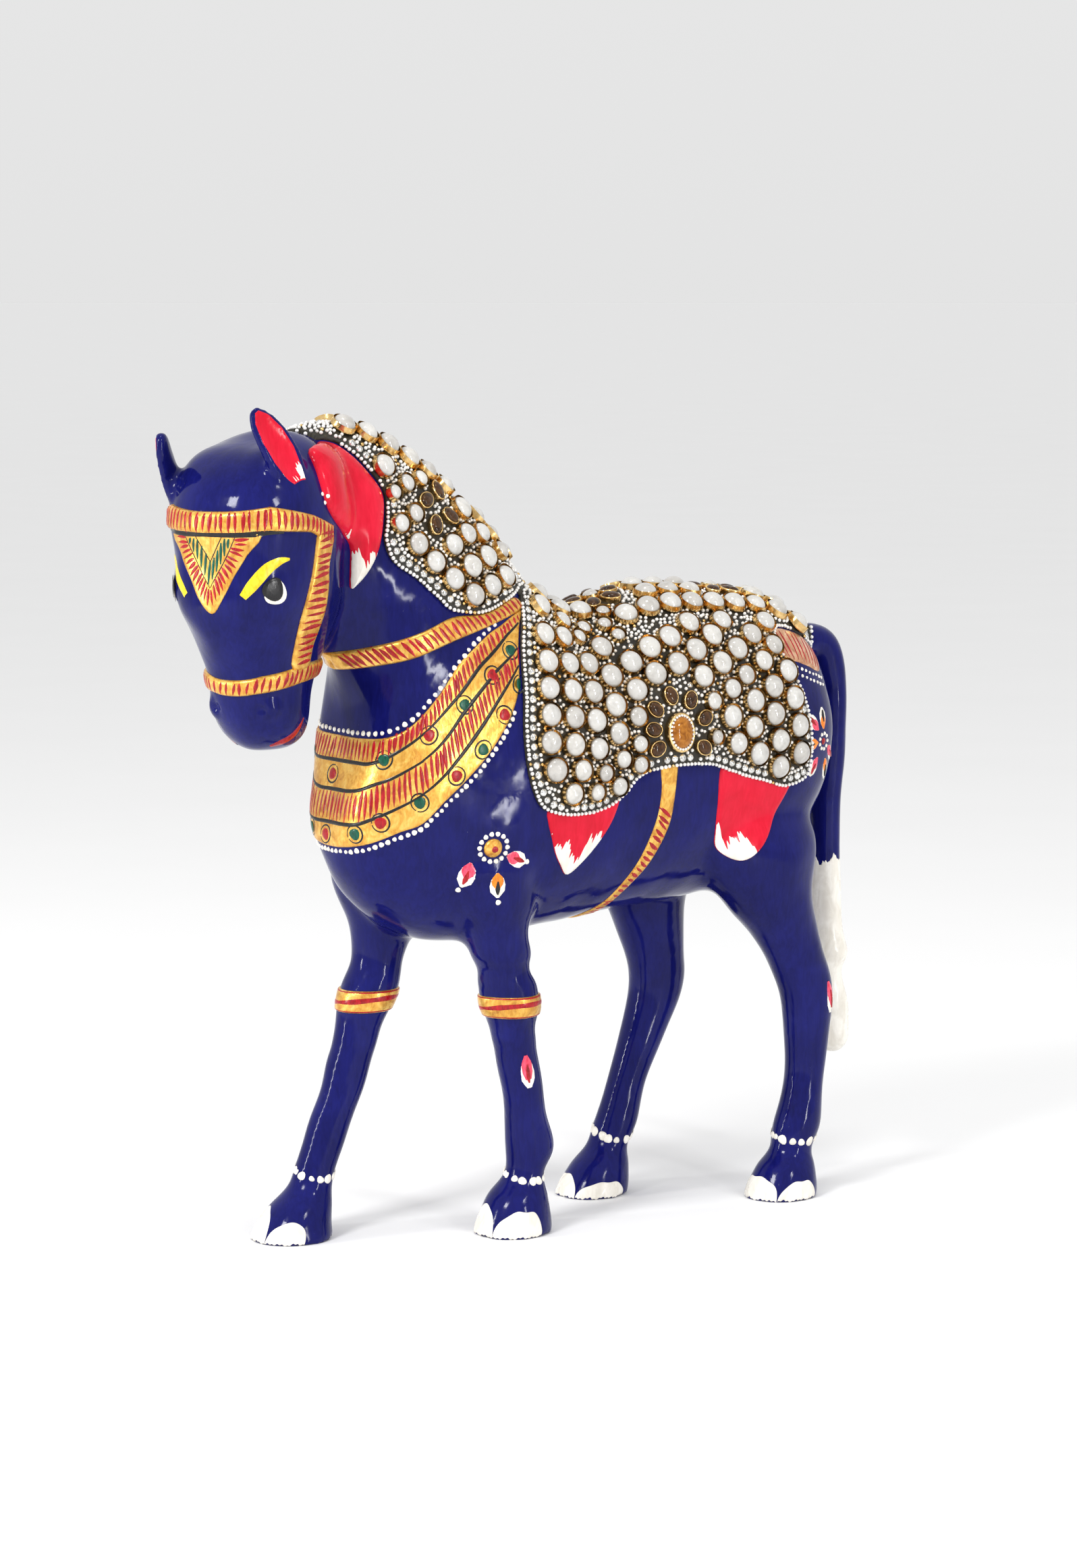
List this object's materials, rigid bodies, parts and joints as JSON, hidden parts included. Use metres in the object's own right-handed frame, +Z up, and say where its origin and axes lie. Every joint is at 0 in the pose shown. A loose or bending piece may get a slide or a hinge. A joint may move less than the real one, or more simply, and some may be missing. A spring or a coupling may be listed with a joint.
{
  "type": "horse figurine",
  "caption": "Standing horse figurine of hollow castings, enamelled, with gilt relief bridle and collar, and a blanket and mane of half pearls set in metal cups on a glued bed.",
  "frame": {"origin": "on the ground, under the middle of the bounding box", "axes": "-X is the way the horse walks, -Y is the horse's left side, +Z is up; the four soles stand on Z = 0"},
  "size_m": [0.2062, 0.0598, 0.2037],
  "materials": {
    "enamel_blue": "deep gloss lacquer over cobalt blue enamel paint",
    "enamel_red": "gloss red enamel with white brushed tips",
    "gilt": "gold leaf in relief, painted with red and green strokes, lacquered",
    "bed": "dark glued ground, matt",
    "pearl": "white half pearl, soft nacre gloss",
    "brass": "bright, slightly aged",
    "stone_smoke": "polished smoky glass",
    "stone_amber": "polished amber glass"
  },
  "bodies": {
    "root": {"back_cups": "brass", "back_pearls": "pearl", "back_stones": "stone_smoke", "blanket_bed": "bed", "blanket_cups_left": "brass", "blanket_cups_right": "brass", "blanket_pearls_left": "pearl", "blanket_pearls_right": "pearl", "blanket_stones_left": "stone_smoke", "blanket_stones_right": "stone_smoke", "browband": "gilt", "cheek_strap_left": "gilt", "cheek_strap_right": "gilt", "collar": "gilt", "croup_band_left": "gilt", "croup_band_right": "gilt", "ear_left": "enamel_blue", "ear_right": "enamel_blue", "forehead_plate": "gilt", "girth_strap": "gilt", "head": "enamel_blue", "knee_band_left": "gilt", "knee_band_right": "gilt", "lappet_front_left": "enamel_red", "lappet_front_right": "enamel_red", "lappet_hind_left": "enamel_red", "lappet_hind_right": "enamel_red", "leg_front_left": "enamel_blue", "leg_front_right": "enamel_blue", "leg_hind_left": "enamel_blue", "leg_hind_right": "enamel_blue", "lock_left": "enamel_red", "lock_right": "enamel_red", "mane_bed": "bed", "mane_cups_left": "brass", "mane_cups_right": "brass", "mane_pearls_left": "pearl", "mane_pearls_right": "pearl", "mane_stones_left": "stone_smoke", "mane_stones_right": "stone_smoke", "medallion_frame_left": "brass", "medallion_frame_right": "brass", "medallion_stone_left": "stone_amber", "medallion_stone_right": "stone_amber", "noseband": "gilt", "rein_left": "gilt", "rein_right": "gilt", "shoulder_dome_left": "gilt", "shoulder_dome_right": "gilt", "tail": "enamel_blue", "trunk_left": "enamel_blue", "trunk_right": "enamel_blue"}
  },
  "joints": []
}
